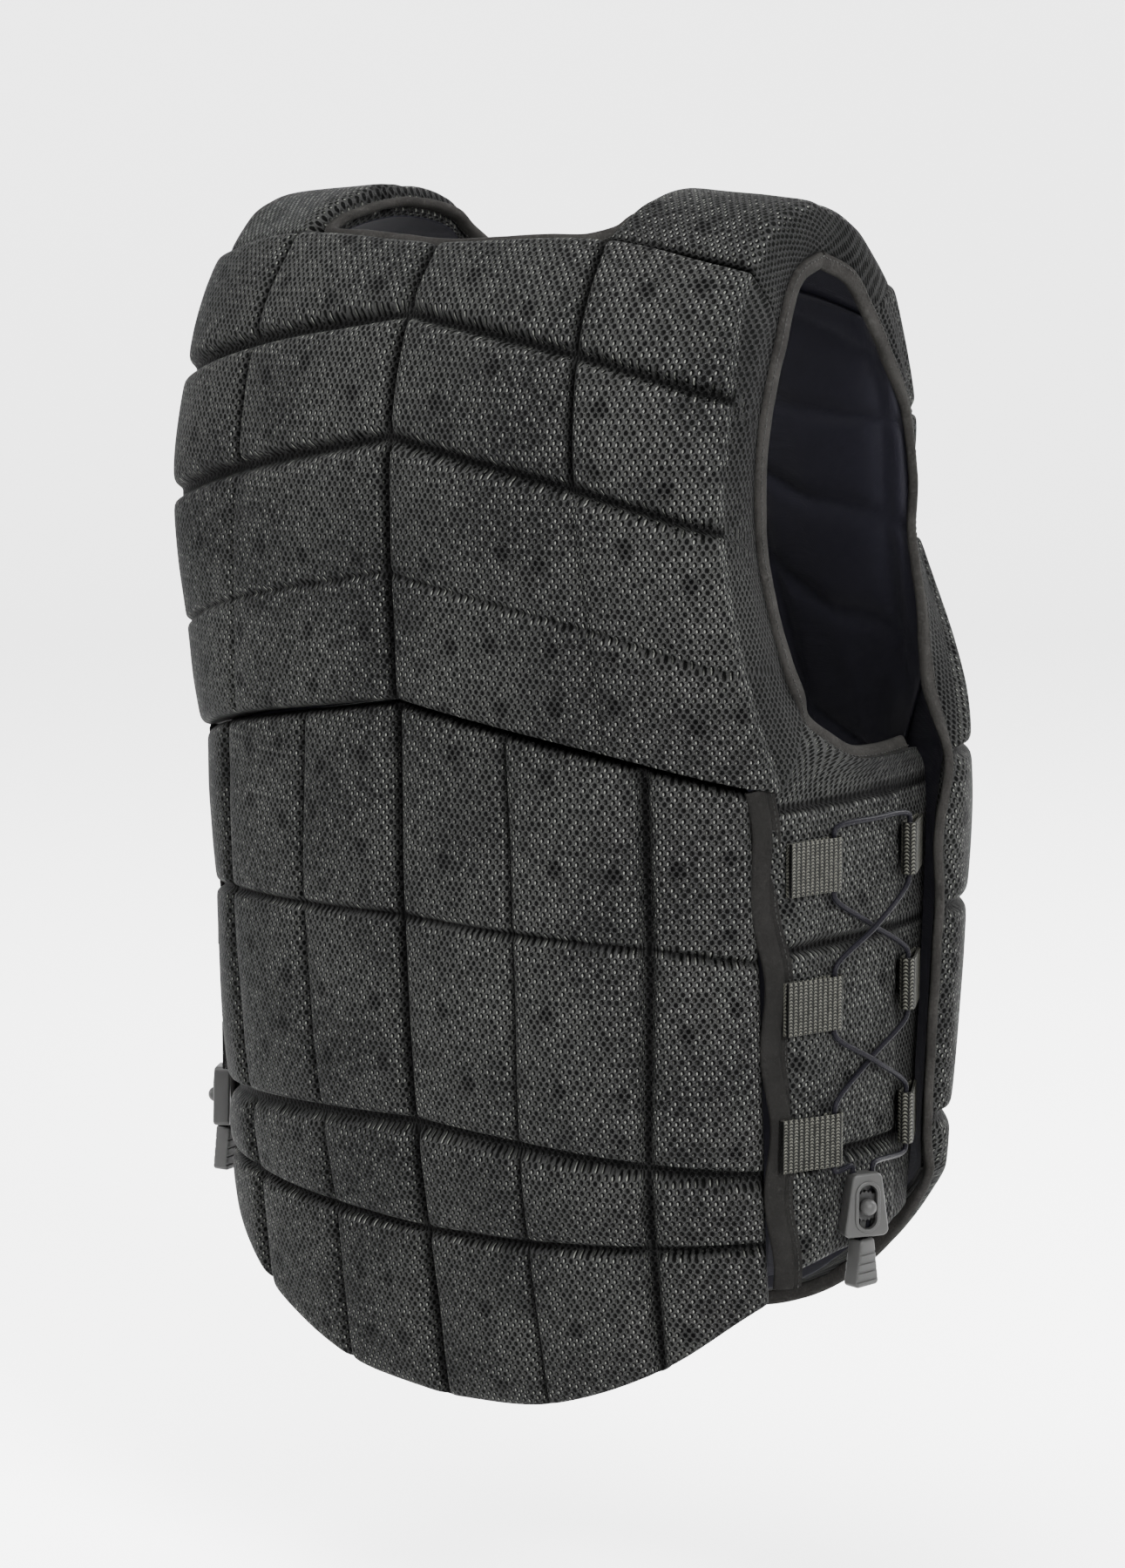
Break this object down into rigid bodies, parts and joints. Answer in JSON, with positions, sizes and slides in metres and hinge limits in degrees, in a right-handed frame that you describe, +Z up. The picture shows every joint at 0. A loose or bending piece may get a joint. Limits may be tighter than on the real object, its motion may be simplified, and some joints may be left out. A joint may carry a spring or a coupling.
{
  "type": "equestrian body protector vest",
  "caption": "Sleeveless padded riding vest of foam blocks under stretched mesh, front zip, elastic side lacing with cord locks, shown as worn.",
  "frame": {"origin": "shoulder_rest, midway between the shoulders at the height where the shoulder pads sit on the wearer", "axes": "+Z up as worn, +Y out of the back, -Y out of the front, -X to the wearer's right"},
  "size_m": [0.389, 0.2738, 0.5557],
  "materials": {
    "mesh_fabric": "stretched open-hole mesh over foam blocks",
    "lining": "smooth close-woven lining",
    "binding": "brushed stretch binding",
    "webbing": "herringbone webbing",
    "cord": "round braided elastic",
    "plastic": "fine satin moulding",
    "zip": "closed zip strip"
  },
  "bodies": {
    "vest": {"back_yoke": "mesh_fabric", "back_lower": "mesh_fabric", "front_panel_right": "mesh_fabric", "front_lining_right": "lining", "side_wing_right": "mesh_fabric", "shoulder_pad_right": "mesh_fabric", "armhole_binding_right": "binding", "front_binding_right": "binding", "side_tape_right": "binding", "back_loop_right_1": "webbing", "front_loop_right_1": "webbing", "back_loop_right_2": "webbing", "front_loop_right_2": "webbing", "back_loop_right_3": "webbing", "front_loop_right_3": "webbing", "cord_lock_right": "plastic", "cord_grip_right": "plastic", "lace_right": "cord", "front_panel_left": "mesh_fabric", "front_lining_left": "lining", "side_wing_left": "mesh_fabric", "shoulder_pad_left": "mesh_fabric", "armhole_binding_left": "binding", "front_binding_left": "binding", "side_tape_left": "binding", "back_loop_left_1": "webbing", "front_loop_left_1": "webbing", "back_loop_left_2": "webbing", "front_loop_left_2": "webbing", "back_loop_left_3": "webbing", "front_loop_left_3": "webbing", "cord_lock_left": "plastic", "cord_grip_left": "plastic", "lace_left": "cord", "neck_binding": "binding", "front_zip": "zip"},
    "right_lock_wheel": {"lock_wheel_right": "plastic"},
    "left_lock_wheel": {"lock_wheel_left": "plastic"}
  },
  "joints": [
    {"name": "right_lock_release", "type": "slide", "parent": "vest", "child": "right_lock_wheel", "axis": [0, 0, -1], "range_m": [0, 0.005]},
    {"name": "left_lock_release", "type": "slide", "parent": "vest", "child": "left_lock_wheel", "axis": [0, 0, -1], "range_m": [0, 0.005]}
  ]
}
